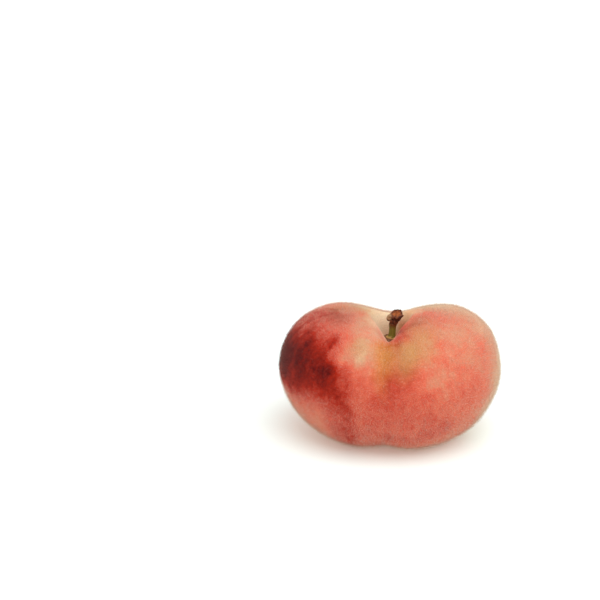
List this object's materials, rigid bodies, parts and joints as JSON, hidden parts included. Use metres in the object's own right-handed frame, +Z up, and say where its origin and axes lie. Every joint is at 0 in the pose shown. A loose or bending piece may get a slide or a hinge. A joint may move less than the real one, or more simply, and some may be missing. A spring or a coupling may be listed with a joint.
{
  "type": "flat peach",
  "caption": "Flat peach with a deep stalk cavity, a shallow suture and a short green stalk that ends in brown bud scales, resting on its base.",
  "frame": {"origin": "under the stalk's seat, on the surface that the fruit rests on", "axes": "+X to the right cheek, -Y to the front, where the suture runs down, +Z up along the stalk"},
  "size_m": [0.0704, 0.0659, 0.0414],
  "materials": {
    "skin": "velvety: short pale fuzz over a matte skin, red blush over yellow and cream",
    "stalk": "green living bark, satin",
    "stalk_end": "dry brown wood and bud scales, matte"
  },
  "bodies": {
    "root": {"fruit": "skin", "stalk": "stalk", "stalk_end": "stalk_end"}
  },
  "joints": []
}
